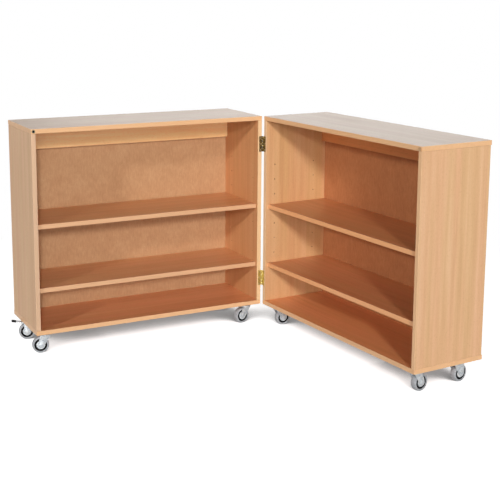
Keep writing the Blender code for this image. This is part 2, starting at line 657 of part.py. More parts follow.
def main():
    clear_scene()
    wood = material("beech_board", (0.62, 0.39, 0.22), 0.5, 0.0)
    hardboard = material("back_board", (0.45, 0.24, 0.12), 0.75, 0.0)
    brass = material("brass", (0.72, 0.52, 0.20), 0.3, 1.0)
    magnet = material("catch_magnet", (0.04, 0.035, 0.03), 0.45, 0.0)
    finishes = {
        "zinc": material("zinc_plate", (0.62, 0.64, 0.66), 0.3, 1.0),
        "hub": material("wheel_centre", (0.03, 0.03, 0.032), 0.5, 0.0),
        "tyre": material("grey_rubber", (0.30, 0.31, 0.32), 0.7, 0.0),
        "pedal": material("brake_pedal", (0.05, 0.05, 0.055), 0.45, 0.0),
    }
    root = frame("hinge_line", (0, 0, 0), 0, None)
    left = frame("left_bookcase", (0, 0, 0), 0, root)
    right = frame("right_bookcase", (0, 0, 0), math.radians(OPEN_ANGLE - 180.0), root)
    left_top = carcass("left", -1, wood, hardboard, left)
    right_top = carcass("right", 1, wood, hardboard, right)
    hinge("upper_hinge", CARCASS_TOP - HINGE_INSET, brass, left, right)
    hinge("lower_hinge", CARCASS_BOTTOM + HINGE_INSET, brass, left, right)
    catch(left_top, right_top, left, right, magnet, finishes["zinc"])
    castors("left", -1, finishes, left)
    castors("right", 1, finishes, right)
    centre_on_floor(root)


main()
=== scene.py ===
"""Looks of the hinged mobile bookcase: finishes, small fittings, floor, lights and camera.

Sizes are in metres and +Z is up. Each bookcase has a frame of its own: x runs from the hinge line
to its outer end, y from the hinge line to its back, and z up from the floor. Each castor has a
frame on its swivel axis: x runs towards the wheel, y along the axle, and z up from the floor.
"""

import json
import math

import bmesh
import bpy
from mathutils import Matrix, Vector


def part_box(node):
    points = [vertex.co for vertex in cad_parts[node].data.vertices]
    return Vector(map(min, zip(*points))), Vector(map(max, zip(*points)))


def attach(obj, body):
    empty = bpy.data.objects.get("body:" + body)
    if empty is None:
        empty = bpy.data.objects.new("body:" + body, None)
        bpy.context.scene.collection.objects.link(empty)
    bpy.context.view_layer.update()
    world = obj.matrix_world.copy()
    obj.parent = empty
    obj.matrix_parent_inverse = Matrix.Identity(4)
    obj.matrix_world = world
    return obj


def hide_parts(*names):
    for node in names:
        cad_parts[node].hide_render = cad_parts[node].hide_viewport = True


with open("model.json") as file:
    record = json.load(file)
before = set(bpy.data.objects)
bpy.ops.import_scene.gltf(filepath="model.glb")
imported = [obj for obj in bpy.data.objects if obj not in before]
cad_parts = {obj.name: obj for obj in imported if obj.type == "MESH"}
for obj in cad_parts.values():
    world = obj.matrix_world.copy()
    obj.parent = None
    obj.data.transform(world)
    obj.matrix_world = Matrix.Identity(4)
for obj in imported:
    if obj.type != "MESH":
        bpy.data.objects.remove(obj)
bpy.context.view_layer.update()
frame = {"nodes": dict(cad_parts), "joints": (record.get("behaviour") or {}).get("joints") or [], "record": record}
joints = {joint["name"]: joint for joint in frame["joints"]}
HINGE_LINE = Vector((*joints["bookcase_hinge"]["pos_m"][:2], 0.0))
RIGHT_TURN = math.radians(-180.0 - joints["bookcase_hinge"]["range_deg"][0])

# Thickness of the boards and of their edge bands
BOARD = 0.018
BAND = 0.0012

# Play between moving parts, and how far a cutting form reaches past a face
PLAY = 0.0003
OVERRUN = 0.001

# Castor sizes, in the castor's frame
CROWN_RADIUS = 0.024
CROWN_SHOULDER = 0.0022
KINGPIN_BORE = 0.0053
LEG_SHEET = 0.0025
LEG_INNER = 0.0135
LEG_HALF_WIDTH = 0.020
LEG_END_RADIUS = 0.0125
EAR_RADIUS = 0.005
RIVET_RADIUS = 0.0065
RIVET_PROUD = 0.0015
AXLE_RADIUS = 0.004
TYRE_HALF_WIDTH = 0.012
TREAD_HALF_WIDTH = 0.0085
TYRE_WALL = (
    # radius, and how far the wall is sunk there
    (0.0254, 0.0016), (0.0260, 0.0008), (0.0264, 0.0003), (0.0274, 0.0002), (0.0278, 0.0007),
    (0.0284, 0.0007), (0.0288, 0.0), (0.0306, 0.0002), (0.0318, 0.0010),
)
MOULD_LINE = 0.00015
WHEEL_STEPS = 96
HUB_RADIUS = 0.009
HUB_END = 0.0132
RIM_RADIUS = 0.0252
RIM_HALF_WIDTH = 0.0105
DISC_RADIUS = 0.0172
PLATE_SHEET = 0.0025
PLATE_HALF = 0.030
PLATE_CORNER = 0.006
PLATE_HOLE_PLACE = 0.023
PLATE_HOLE_RADIUS = 0.0026
KINGPIN_RADIUS = 0.005
KINGPIN_HEAD_RADIUS = 0.008
KINGPIN_HEAD_TOP = 0.0706
KINGPIN_HEAD_BOTTOM = 0.0681
PEDAL_STUB_RADIUS = 0.002
PEDAL_STUB_BORE = 0.0023
PEDAL_BARREL_RADIUS = 0.0026
PEDAL_HALF_WIDTH = 0.010
PEDAL_HALF_SHEET = 0.001
PEDAL_REACH = 0.055
PEDAL_RISE = 0.009
PAD_LENGTH = 0.018
PAD_HALF_THICKNESS = 0.0025
PAD_RIBS = 5
PAD_RIB_DEPTH = 0.0007
SHOE_START = 0.009
SHOE_END = 0.015
SHOE_DROP = 0.0049

# Hinge, catch and shelf peg sizes, in a bookcase's own frame
LEAF_FRONT = 0.0009
LEAF_BACK = 0.0025
LEAF_END = 0.0163
KNUCKLE_RADIUS = 0.003
KNUCKLE_COUNT = 5
KNUCKLE_GAP = 0.0003
HINGE_PIN_RADIUS = 0.0015
HINGE_PIN_BORE = 0.0018
HINGE_SCREW_X = 0.01005
HINGE_SCREW_PITCH = 0.025
SCREW_HEAD_RADIUS = 0.0037
SCREW_SHANK_RADIUS = 0.0021
CATCH_RIM_RADIUS = 0.007
CATCH_CUP_RADIUS = 0.006
CATCH_CORE_RADIUS = 0.0047
CATCH_RIM_BACK = 0.0025
CATCH_RIM_FRONT = 0.0013
CATCH_NOSE = 0.0004
CATCH_BACK = 0.0124
STRIKE_FACE = -0.0003
STRIKE_SHANK_END = 0.0108
STRIKE_X = 0.9943
SLEEVE_RADIUS = 0.0027
SLEEVE_REACH = 0.0094
PEG_HEIGHTS = (0.2530, 0.5090)
PEG_DEPTHS = (0.0478, 0.2478)
INNER_FACES = {"hinge_side": 0.0218, "outer_side": 0.9858}


def srgb(red, green, blue):
    """A colour given as it looks on screen, from 0 to 255, as linear values."""
    def linear(value):
        share = value / 255.0
        return share / 12.92 if share <= 0.04045 else ((share + 0.055) / 1.055) ** 2.4
    return (linear(red), linear(green), linear(blue), 1.0)


def spin(angle, axis):
    return Matrix.Rotation(angle, 4, axis)


move = Matrix.Translation
WHITE = (1.0, 1.0, 1.0, 1.0)
MIX_FACTOR, MIX_FIRST, MIX_SECOND, MIX_RESULT = 0, 6, 7, 2


# Node trees


def node(tree, kind, inputs=None, **settings):
    """Add a node; an input is a value or the socket that feeds it."""
    made = tree.nodes.new(kind)
    for name, value in settings.items():
        setattr(made, name, value)
    for name, value in (inputs or {}).items():
        if isinstance(value, bpy.types.NodeSocket):
            tree.links.new(value, made.inputs[name])
        else:
            made.inputs[name].default_value = value
    return made


def calc(tree, operation, *values):
    inputs = dict(enumerate(values))
    return node(tree, "ShaderNodeMath", inputs, operation=operation).outputs[0]


def vector_calc(tree, operation, *values):
    inputs = dict(enumerate(values))
    return node(tree, "ShaderNodeVectorMath", inputs, operation=operation).outputs[0]


def between(tree, value, low, high, out_low=0.0, out_high=1.0):
    """Map a value from one range to another, and stop at its ends."""
    inputs = {"Value": value, "From Min": low, "From Max": high, "To Min": out_low, "To Max": out_high}
    return node(tree, "ShaderNodeMapRange", inputs, clamp=True).outputs[0]


def axes(tree, vector):
    """The x, y and z of a vector."""
    return node(tree, "ShaderNodeSeparateXYZ", {0: vector}).outputs


def blend(tree, factor, first, second, mode='MIX'):
    """Mix two colours, through the mix node's sockets for colours."""
    inputs = {MIX_FACTOR: factor, MIX_FIRST: first, MIX_SECOND: second}
    return node(tree, "ShaderNodeMix", inputs, data_type='RGBA', blend_type=mode).outputs[MIX_RESULT]


def noise(tree, vector, scale, detail=2.0, roughness=0.5, distortion=0.0):
    inputs = {"Vector": vector, "Scale": scale, "Detail": detail, "Roughness": roughness,
              "Distortion": distortion}
    return node(tree, "ShaderNodeTexNoise", inputs).outputs["Fac"]


def ramp(tree, factor, *stops):
    """A colour ramp through (place, colour) stops."""
    made = node(tree, "ShaderNodeValToRGB", {"Fac": factor})
    elements = made.color_ramp.elements
    while len(elements) < len(stops):
        elements.new(0.5)
    for element, (place, colour) in zip(elements, stops):
        element.position = place
        element.color = colour
    return made.outputs["Color"]


def finish_material(name, build, metallic, bump, bump_depth, specular=0.5):
    """A Principled material; build(tree) gives its colour, its roughness and a height."""
    made = bpy.data.materials.new(name)
    made.use_nodes = True
    tree = made.node_tree
    shader = tree.nodes["Principled BSDF"]
    shader.inputs["Metallic"].default_value = metallic
    shader.inputs["Specular IOR Level"].default_value = specular
    colour, rough, height = build(tree)
    relief = node(tree, "ShaderNodeBump", {"Strength": bump, "Distance": bump_depth, "Height": height})
    for label, socket in (("Base Color", colour), ("Roughness", rough), ("Normal", relief.outputs[0])):
        tree.links.new(socket, shader.inputs[label])
    return made


def swing(tree, pattern, amount, middle=0.5):
    """Let a pattern of 0 to 1 swing a value to both sides of its middle."""
    return calc(tree, 'MULTIPLY_ADD', calc(tree, 'SUBTRACT', pattern, 0.5), amount, middle)


def swung(tree, *patterns):
    """A tone about one half that each (pattern, amount) swings in turn."""
    tone = 0.5
    for pattern, amount in patterns:
        tone = swing(tree, pattern, amount, tone)
    return tone


def object_point(tree):
    return node(tree, "ShaderNodeTexCoord").outputs["Object"]


def scattered_point(tree, spread=9.0):
    """Object coordinates, moved by a different amount for each object."""
    chance = node(tree, "ShaderNodeObjectInfo").outputs["Random"]
    return vector_calc(tree, 'ADD', object_point(tree), calc(tree, 'MULTIPLY', chance, spread))


# Boards


def beech_print(tree, given):
    """The printed wood; gives its colour, streaks, fibres and flecks."""
    moved = vector_calc(tree, 'ADD', given["Point"], given["Shift"])
    grain = vector_calc(tree, 'MULTIPLY', moved, given["Stretch"])
    bands = noise(tree, grain, 11.0, 2.0, 0.5, 0.3)
    stripes = noise(tree, grain, 34.0, 2.0, 0.5, 0.2)
    streaks = noise(tree, grain, 85.0, 3.0, 0.55, 0.2)
    fibres = noise(tree, grain, 620.0, 2.0, 0.6)
    rings = {"Vector": grain, "Scale": 9.0, "Distortion": 6.0, "Detail": 2.0, "Detail Scale": 1.2}
    figure = node(tree, "ShaderNodeTexWave", rings, wave_type='RINGS',
                  rings_direction='SPHERICAL').outputs["Fac"]
    dashes = noise(tree, vector_calc(tree, 'MULTIPLY', moved, given["Fleck Stretch"]), 780.0, 1.0)
    flecks = between(tree, dashes, 0.60, 0.68)
    tone = swung(tree, (bands, 0.62), (stripes, 0.55), (streaks, 0.60), (fibres, 0.38), (figure, 0.10))
    colour = ramp(tree, tone, (0.15, srgb(207, 157, 112)), (0.5, srgb(221, 175, 130)),
                  (0.85, srgb(230, 189, 147)))
    rosy = between(tree, noise(tree, grain, 23.0, 1.0), 0.35, 0.65)
    warmth = ramp(tree, rosy, (0.0, (0.985, 1.012, 0.985, 1.0)), (1.0, (1.015, 0.985, 1.02, 1.0)))
    colour = blend(tree, 1.0, colour, warmth, 'MULTIPLY')
    fleck_colour = blend(tree, 0.55, colour, srgb(170, 116, 76))
    colour = blend(tree, calc(tree, 'MULTIPLY', flecks, 0.55), colour, fleck_colour)
    # the tint multiplies in painted light and shade along with the board's own tone
    return blend(tree, 1.0, colour, given["Tint"], 'MULTIPLY'), streaks, fibres, flecks


def with_edge_bands(tree, face, streaks, given):
    """Lay the pale bands over the face outside the band box, with a seam along them."""
    below = vector_calc(tree, 'SUBTRACT', given["Band Low"], given["Point"])
    above = vector_calc(tree, 'SUBTRACT', given["Point"], given["Band High"])
    x, y, z = axes(tree, vector_calc(tree, 'MAXIMUM', below, above))
    outside = calc(tree, 'MAXIMUM', calc(tree, 'MAXIMUM', x, y), z)
    tone = ramp(tree, swing(tree, streaks, 0.8), (0.2, (0.94, 0.93, 0.91, 1.0)),
                (0.8, (1.05, 1.06, 1.08, 1.0)))
    band_colour = blend(tree, 1.0, given["Band Color"], tone, 'MULTIPLY')
    seam = calc(tree, 'SUBTRACT', 1.0, between(tree, calc(tree, 'ABSOLUTE', outside), 0.0001, 0.0003))
    face = blend(tree, between(tree, outside, 0.0, 0.0001), face, band_colour)
    return blend(tree, calc(tree, 'MULTIPLY', seam, 0.45), face, srgb(142, 98, 66))


def with_wear_and_core(tree, face, given):
    """Rub the arrises pale, and show raw core inside the board; also gives the core's share."""
    point = given["Point"]
    from_low = vector_calc(tree, 'SUBTRACT', point, given["Low"])
    from_high = vector_calc(tree, 'SUBTRACT', given["High"], point)
    x, y, z = axes(tree, vector_calc(tree, 'MINIMUM', from_low, from_high))
    across = calc(tree, 'MINIMUM', x, y)
    depth = calc(tree, 'MINIMUM', across, z)
    to_arris = calc(tree, 'MAXIMUM', across, calc(tree, 'MINIMUM', calc(tree, 'MAXIMUM', x, y), z))
    rub_width = between(tree, noise(tree, point, 160.0, 4.0, 0.65), 0.35, 0.75, 0.0002, 0.0022)
    rubbed = calc(tree, 'SUBTRACT', 1.0, calc(tree, 'DIVIDE', to_arris, rub_width))
    rubbed = calc(tree, 'MULTIPLY', between(tree, rubbed, 0.0, 1.0), 0.35)
    face = blend(tree, rubbed, face, srgb(236, 204, 168))
    chips = noise(tree, point, 420.0, 3.0, 0.7)
    core_colour = ramp(tree, chips, (0.3, srgb(104, 70, 44)), (0.7, srgb(168, 128, 90)))
    core = between(tree, depth, 0.0006, 0.0010)
    return blend(tree, core, face, core_colour), core


def board_group():
    """Beech print with its flecks, multiplied by a tint of its own tone and painted light and shade, pale edge
    bands, raw core in the holes and rubbed arrises.
    """
    vector, number, colour = 'NodeSocketVector', 'NodeSocketFloat', 'NodeSocketColor'
    inputs = {"Point": vector, "Stretch": vector, "Fleck Stretch": vector, "Shift": number,
              "Low": vector, "High": vector, "Band Low": vector, "Band High": vector,
              "Tint": colour, "Band Color": colour, "Gloss Roughness": number}
    outputs = {"Color": colour, "Roughness": number, "Height": number}
    tree = bpy.data.node_groups.new("beech_board_pattern", 'ShaderNodeTree')
    for way, sockets in (('INPUT', inputs), ('OUTPUT', outputs)):
        for label, kind in sockets.items():
            tree.interface.new_socket(label, in_out=way, socket_type=kind)
    given = node(tree, "NodeGroupInput").outputs
    face, streaks, fibres, flecks = beech_print(tree, given)
    face = with_edge_bands(tree, face, streaks, given)
    face, core = with_wear_and_core(tree, face, given)
    rough = swing(tree, fibres, 0.14, given["Gloss Roughness"])
    rough = swing(tree, noise(tree, given["Point"], 7.0, 3.0, 0.6), 0.06, rough)
    node(tree, "NodeGroupOutput", {"Color": face, "Roughness": calc(tree, 'MULTIPLY_ADD', core, 0.4, rough),
                                   "Height": calc(tree, 'MULTIPLY_ADD', flecks, -0.5, fibres)})
    return tree


def bookcase_matrix(side):
    """From a bookcase's own frame to the row frame."""
    if side == "left":
        return move(HINGE_LINE) @ Matrix.Diagonal((-1.0, 1.0, 1.0, 1.0))
    return move(HINGE_LINE) @ spin(RIGHT_TURN, 'Z')


def bookcase_point(tree, side):
    """The object's coordinates in its bookcase's own frame."""
    to_own = bookcase_matrix(side).inverted()
    flip = -1.0 if side == "left" else 1.0
    inputs = {"Vector": object_point(tree), "Location": to_own.translation,
              "Rotation": (0.0, 0.0, 0.0 if side == "left" else -RIGHT_TURN),
              "Scale": (flip, 1.0, 1.0)}
    return node(tree, "ShaderNodeMapping", inputs, vector_type='POINT').outputs[0]


def own_box(name):
    """Corners of a board in its bookcase's own frame, without the pegs on a side board."""
    to_own = bookcase_matrix(name.split("_")[0]).inverted()
    corners = [to_own @ v.co for v in frame["nodes"][name].data.vertices]
    low, high = [Vector([pick(c[axis] for c in corners) for axis in range(3)]) for pick in (min, max)]
    if name.endswith("hinge_side"):
        high.x = low.x + BOARD
    if name.endswith("outer_side"):
        low.x = high.x - BOARD
    return low, high


# How much the print and its flecks are drawn out along a board, and how far it moves from board to board
ALONG = 0.035
FLECK_ALONG = 0.13
BOARD_SHIFT = 1.7
FAR = 10.0
SATIN = 0.33
MATT = 0.40
BANDED_ENDS = ("top_panel", "bottom_panel")
PINK_BAND = srgb(224, 188, 150)
AMBER_BAND = srgb(232, 183, 135)
SHELF_BANDS = {"left": srgb(224, 175, 132), "right": srgb(242, 178, 124)}
SIDE_BANDS = {
    "left_outer_side": srgb(215, 177, 143), "left_hinge_side": srgb(233, 196, 149),
    "right_outer_side": srgb(234, 188, 142),
}
TONE_AND_PAINTED_LIGHT = {
    # what the print's colour is multiplied by: partly each board's own tone, partly painted light and shade;
    # darker and redder on the shaded insides, greyer and bluer on the tops as a painted reflection, brighter on
    # the left top rail as painted light
    "left_top_panel": (0.74, 0.80, 0.91), "right_top_panel": (0.72, 0.79, 0.92),
    "left_upper_shelf": (0.90, 0.69, 0.55), "left_lower_shelf": (0.99, 0.77, 0.64),
    "left_bottom_panel": (1.10, 0.81, 0.67), "right_upper_shelf": (0.84, 0.57, 0.44),
    "right_lower_shelf": (0.93, 0.63, 0.50), "right_bottom_panel": (1.18, 0.83, 0.62),
    "left_hinge_side": (0.87, 0.71, 0.58), "right_hinge_side": (0.93, 0.90, 0.80),
    "left_top_rail": (1.46, 1.51, 1.36), "right_top_rail": (1.30, 0.92, 0.66),
}


def board_material(name, pattern, number):
    side, part = name.split("_", 1)
    low, high = own_box(name)
    upright = part.endswith("_side")
    stretch = (1.0, 1.0, ALONG) if upright else (ALONG, 1.0, 1.0)
    flecks = (1.0, 1.0, FLECK_ALONG) if upright else (FLECK_ALONG, 1.0, 1.0)
    band_low = Vector((-FAR, low.y + BAND, -FAR))
    band_high = Vector((FAR, FAR, FAR))
    band_colour = SHELF_BANDS[side]
    if part in BANDED_ENDS:
        band_low.x = low.x + BAND
        band_high.x = high.x - BAND
        band_high.y = high.y - BAND
        band_colour = AMBER_BAND
    if upright:
        band_high.y = high.y - BAND
        band_colour = SIDE_BANDS.get(name, PINK_BAND)
    if part == "top_rail":
        band_low = Vector((-FAR, -FAR, low.z + BAND))

    def build(tree):
        # the board's tint holds its own tone and painted light and shade
        inputs = {"Point": bookcase_point(tree, side), "Stretch": stretch, "Fleck Stretch": flecks,
                  "Shift": BOARD_SHIFT * number, "Low": low, "High": high, "Band Low": band_low,
                  "Band High": band_high, "Tint": (*TONE_AND_PAINTED_LIGHT.get(name, (1.0, 1.0, 1.0)), 1.0),
                  "Band Color": band_colour,
                  "Gloss Roughness": SATIN if part.endswith(("_shelf", "bottom_panel")) else MATT}
        return tuple(node(tree, "ShaderNodeGroup", inputs, node_tree=pattern).outputs)

    return finish_material(name + "_beech", build, metallic=0.0, bump=0.25, bump_depth=0.0003)


# Tints on the back panels' inside faces: painted shade, darker and redder on the right back, and a touch of
# painted light on the left back
BACK_TONE_AND_PAINTED_SHADE = {"left_back_panel": (0.99, 1.07, 1.04), "right_back_panel": (0.98, 0.75, 0.57)}


def hardboard(name):
    """Pressed wood fibre: faintly cloudy tan with fine speckles; the face inside is tinted with painted shade and
    light.
    """
    side = name.split("_")[0]
    low, high = own_box(name)
    middle = (low.y + high.y) / 2

    def build(tree):
        point = object_point(tree)
        depth = axes(tree, bookcase_point(tree, side))[1]
        inside = between(tree, depth, middle - 0.0005, middle + 0.0005, 1.0, 0.0)
        clouds = noise(tree, point, 16.0, 5.0, 0.65)
        specks = noise(tree, point, 420.0, 4.0, 0.75)
        threads = noise(tree, vector_calc(tree, 'MULTIPLY', point, (1.0, 1.0, 0.3)), 150.0, 3.0)
        tone = swung(tree, (clouds, 0.55), (specks, 0.85), (threads, 0.55))
        colour = ramp(tree, tone, (0.15, srgb(172, 122, 84)), (0.5, srgb(190, 140, 101)),
                      (0.85, srgb(206, 160, 121)))
        # painted shade and light, on the inside face only
        tinted = blend(tree, 1.0, colour, (*BACK_TONE_AND_PAINTED_SHADE[name], 1.0), 'MULTIPLY')
        colour = blend(tree, inside, colour, tinted)
        return colour, between(tree, specks, 0.3, 0.7, 0.62, 0.78), specks
    return build


# Metal, rubber and moulding


def zinc(dark, middle, light, spangled):
    """Zinc plate with a faint spangle, blue and straw tints and duller patches."""
    def build(tree):
        point = scattered_point(tree)
        patches = noise(tree, point, 90.0, 4.0, 0.6)
        grains = node(tree, "ShaderNodeTexVoronoi", {"Vector": point, "Scale": 280.0}).outputs["Color"]
        fine = noise(tree, point, 1500.0, 3.0, 0.7)
        base = ramp(tree, patches, (0.35, dark), (0.5, middle), (0.65, light))
        colour = blend(tree, calc(tree, 'MULTIPLY', axes(tree, grains)[0], 0.55), base, spangled)
        return colour, between(tree, patches, 0.3, 0.7, 0.48, 0.64), fine
    return build


def brass(dark, middle, light):
    """Brass, browned in patches."""
    def build(tree):
        point = scattered_point(tree)
        patches = noise(tree, point, 190.0, 4.0, 0.7)
        fine = noise(tree, vector_calc(tree, 'MULTIPLY', point, (1.0, 1.0, 0.15)), 1800.0, 2.0)
        colour = ramp(tree, patches, (0.40, dark), (0.5, middle), (0.60, light))
        return colour, between(tree, patches, 0.3, 0.7, 0.45, 0.28), fine
    return build


def patchy(scale, dark, light, rough_low, rough_high, fine_scale=None):
    """A plain finish with faint patches, and a fine relief if it has a scale."""
    def build(tree):
        point = scattered_point(tree)
        patches = noise(tree, point, scale, 4.0, 0.6)
        relief = noise(tree, point, fine_scale, 2.0, 0.6) if fine_scale else patches
        colour = ramp(tree, patches, (0.3, dark), (0.7, light))
        return colour, between(tree, patches, 0.3, 0.7, rough_low, rough_high), relief
    return build


def grey_rubber(tree):
    """Grey tyre rubber with a dusty, scuffed tread."""
    point = scattered_point(tree)
    patches = noise(tree, point, 110.0, 5.0, 0.65)
    fine = noise(tree, point, 1700.0, 3.0, 0.7)
    colour = ramp(tree, swing(tree, fine, 0.5, patches), (0.3, srgb(142, 145, 150)),
                  (0.5, srgb(164, 167, 171)), (0.75, srgb(187, 188, 190)))
    return colour, between(tree, patches, 0.3, 0.7, 0.55, 0.75), fine


FINISHES = {
    # pattern, metallic, bump and its depth, specular level
    "zinc_plate": (zinc(srgb(146, 155, 162), srgb(178, 184, 189), srgb(198, 200, 196),
                        srgb(228, 234, 238)), 0.6, 0.15, 0.0002),
    # a lighter copy of the zinc for the wheel discs: painted light that makes the shaded discs look lit
    "pressed_zinc": (zinc(srgb(176, 185, 192), srgb(207, 213, 217), srgb(228, 230, 227),
                          srgb(240, 243, 245)), 0.6, 0.15, 0.0002),
    # the same brass twice: darker for the upper hinge as painted shade, brighter for the lower hinge as a painted
    # highlight
    "browned_brass": (brass(srgb(50, 36, 18), srgb(116, 94, 52), srgb(196, 174, 120)),
                      0.9, 0.15, 0.0001),
    "bright_brass": (brass(srgb(176, 150, 74), srgb(216, 194, 116), srgb(236, 220, 156)),
                     0.9, 0.15, 0.0001),
    "screw_brass": (brass(srgb(150, 130, 92), srgb(204, 188, 146), srgb(232, 220, 184)),
                    0.9, 0.15, 0.0001),
    "black_moulding": (patchy(120.0, srgb(6, 7, 8), srgb(16, 17, 19), 0.48, 0.62, 2200.0),
                       0.0, 0.2, 0.0001, 0.08),
    "grey_rubber": (grey_rubber, 0.0, 0.3, 0.0002),
    "cup_steel": (patchy(300.0, srgb(120, 112, 92), srgb(168, 160, 138), 0.3, 0.5), 1.0, 0.1, 0.0001),
    "strike_steel": (patchy(260.0, srgb(186, 146, 106), srgb(212, 172, 130), 0.35, 0.55), 0.3, 0.1, 0.0001),
}
SLOT_FINISHES = {
    # slots whose finish has another name
    "hinge_brass": "bright_brass", "catch_strike": "zinc_plate", "catch_magnet": "black_moulding",
    "wheel_centre": "black_moulding", "brake_pedal": "zinc_plate",
}


# Mesh helpers


def arc(centre, radius, start, end, steps):
    angles = [start + (end - start) * step / steps for step in range(steps + 1)]
    return [(centre[0] + radius * math.cos(a), centre[1] + radius * math.sin(a)) for a in angles]


def tangent_angle(point, centre, radius, turn):
    """The angle at which a line from a point touches a circle, on the side given by turn."""
    away = Vector(point) - Vector(centre)
    return math.atan2(away.y, away.x) + turn * math.acos(radius / away.length)


def turned(profile, steps, across=False, centre=(0.0, 0.0, 0.0)):
    """Turn (radius, height) points about z, or about y if across; the profile goes round a ring,
    or from axis to axis."""
    form = bmesh.new()
    rings = []
    for radius, height in profile:
        count = steps if radius > 0 else 1
        angles = [2 * math.pi * step / steps for step in range(count)]
        rings.append([form.verts.new((radius * math.cos(a), radius * math.sin(a), height))
                      for a in angles])
    if profile[0][0] > 0:
        rings.append(rings[0])
    for lower, upper in zip(rings, rings[1:]):
        for step in range(steps):
            after = (step + 1) % steps
            if len(lower) == 1:
                form.faces.new((lower[0], upper[after], upper[step]))
            elif len(upper) == 1:
                form.faces.new((lower[step], lower[after], upper[0]))
            else:
                form.faces.new((lower[step], lower[after], upper[after], upper[step]))
    if across:
        bmesh.ops.rotate(form, verts=form.verts, matrix=Matrix.Rotation(math.pi / 2, 3, 'X'))
    bmesh.ops.translate(form, verts=form.verts, vec=Vector(centre))
    bmesh.ops.recalc_face_normals(form, faces=form.faces)
    return form


def prism(outline, near, far, level=False):
    """An (x, z) outline, extruded along y, or an (x, y) outline, extruded along z if level."""
    form = bmesh.new()
    ends = [[form.verts.new((a, b, depth) if level else (a, depth, b)) for a, b in outline]
            for depth in (near, far)]
    form.faces.new(ends[0])
    form.faces.new(ends[1])
    for here in range(len(outline)):
        after = (here + 1) % len(outline)
        form.faces.new((ends[0][here], ends[0][after], ends[1][after], ends[1][here]))
    bmesh.ops.recalc_face_normals(form, faces=form.faces)
    return form


def blade(length, width, depth, turn):
    """One tapered arm of a cross recess, from above the head down to its depth."""
    form = bmesh.new()
    for share, level in ((1.0, OVERRUN), (0.45, -depth)):
        for x, y in ((-1, -1), (1, -1), (1, 1), (-1, 1)):
            form.verts.new((x * share * length / 2, y * share * width / 2, level))
    bmesh.ops.convex_hull(form, input=form.verts)
    bmesh.ops.rotate(form, verts=form.verts, matrix=Matrix.Rotation(turn, 3, 'Z'))
    bmesh.ops.recalc_face_normals(form, faces=form.faces)
    return form


def copies(name, mesh, places):
    """One mesh of several copies of another."""
    form = bmesh.new()
    for place in places:
        start = len(form.verts)
        form.from_mesh(mesh)
        form.verts.ensure_lookup_table()
        bmesh.ops.transform(form, matrix=place, verts=form.verts[start:])
    return smooth(mesh_of(name, form))


def mesh_of(name, form):
    mesh = bpy.data.meshes.new(name)
    form.to_mesh(mesh)
    form.free()
    return mesh


def rod(radius, low, high):
    """The profile of a plain rod."""
    return [(0.0, low), (radius, low), (radius, high), (0.0, high)]


def new_object(name, data):
    made = bpy.data.objects.new(name, data)
    bpy.context.scene.collection.objects.link(made)
    return made


def mirrored(half):
    """A profile from its half: the other half has the heights' signs changed."""
    return half + [(radius, -height) for radius, height in reversed(half)]


def joined(name, base, added=(), cut=(), bevel=0.0):
    """One mesh from forms: added ones are joined on, cut ones taken out, and sharp edges rounded."""
    helpers = []
    body = new_object(name, mesh_of(name, base))
    for operation, forms in (('UNION', added), ('DIFFERENCE', cut)):
        for form in forms:
            helper = new_object(name + "_helper", mesh_of(name + "_helper", form))
            helpers.append(helper)
            change = body.modifiers.new("change", 'BOOLEAN')
            change.operation = operation
            change.solver = 'EXACT'
            change.object = helper
    if bevel:
        rounding = body.modifiers.new("rounding", 'BEVEL')
        rounding.width = bevel
        rounding.segments = 2
        rounding.limit_method = 'ANGLE'
        rounding.angle_limit = math.radians(35.0)
        rounding.use_clamp_overlap = True
    bpy.context.view_layer.update()
    ready = body.evaluated_get(bpy.context.evaluated_depsgraph_get())
    mesh = bpy.data.meshes.new_from_object(ready)
    mesh.name = name
    for helper in [body] + helpers:
        bpy.data.objects.remove(helper, do_unlink=True)
    return smooth(mesh)


def smooth(mesh, angle=35.0):
    mesh.shade_smooth()
    mesh.set_sharp_from_angle(angle=math.radians(angle))
    return mesh


def screw_mesh(name, profile, recess_length, recess_depth, top):
    """A screw along z with its head up and a cross recess in it."""
    recess = [blade(recess_length, recess_length * 0.24, recess_depth, turn)
              for turn in (0.0, math.pi / 2)]
    for form in recess:
        bmesh.ops.translate(form, verts=form.verts, vec=(0.0, 0.0, top))
    return joined(name, turned(profile, 40), cut=recess)


def add_piece(name, mesh, finish, body, place, replaces=()):
    made = new_object(name, mesh)
    if not mesh.materials:
        mesh.materials.append(finish)
    made.matrix_world = place
    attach(made, body)
    if replaces:
        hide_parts(*replaces)


# Castors


CASTORS = sorted(name[:-len("_swivel")] for name in joints if name.endswith("_swivel"))
BRAKED = [name for name in CASTORS if name + "_brake_press" in joints]


def joint_point(name):
    return Vector(joints[name]["pos_m"])


FIRST = BRAKED[0]
SWIVEL = joint_point(FIRST + "_swivel")
AXLE = joint_point(FIRST + "_wheel_spin")
PIVOT = joint_point(FIRST + "_brake_press")
TRAIL = (AXLE.xy - SWIVEL.xy).length
PIVOT_OUT = (PIVOT.xy - SWIVEL.xy).length
CROWN_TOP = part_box(FIRST + "_castor_fork")[1].z
CROWN_MIDDLE = (SWIVEL.z + CROWN_TOP) / 2
RACE_LOW = CROWN_TOP + PLAY
PLATE_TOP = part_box(FIRST + "_castor_plate")[1].z
PLATE_FACE = PLATE_TOP - PLATE_SHEET
LEG_OUTER = LEG_INNER + LEG_SHEET


def castor_matrix(name):
    """The castor's frame: its origin is on the floor under the swivel axis."""
    axis = joint_point(name + "_swivel")
    away = joint_point(name + "_wheel_spin") - axis
    return move((axis.x, axis.y, 0.0)) @ spin(math.atan2(away.y, away.x), 'Z')


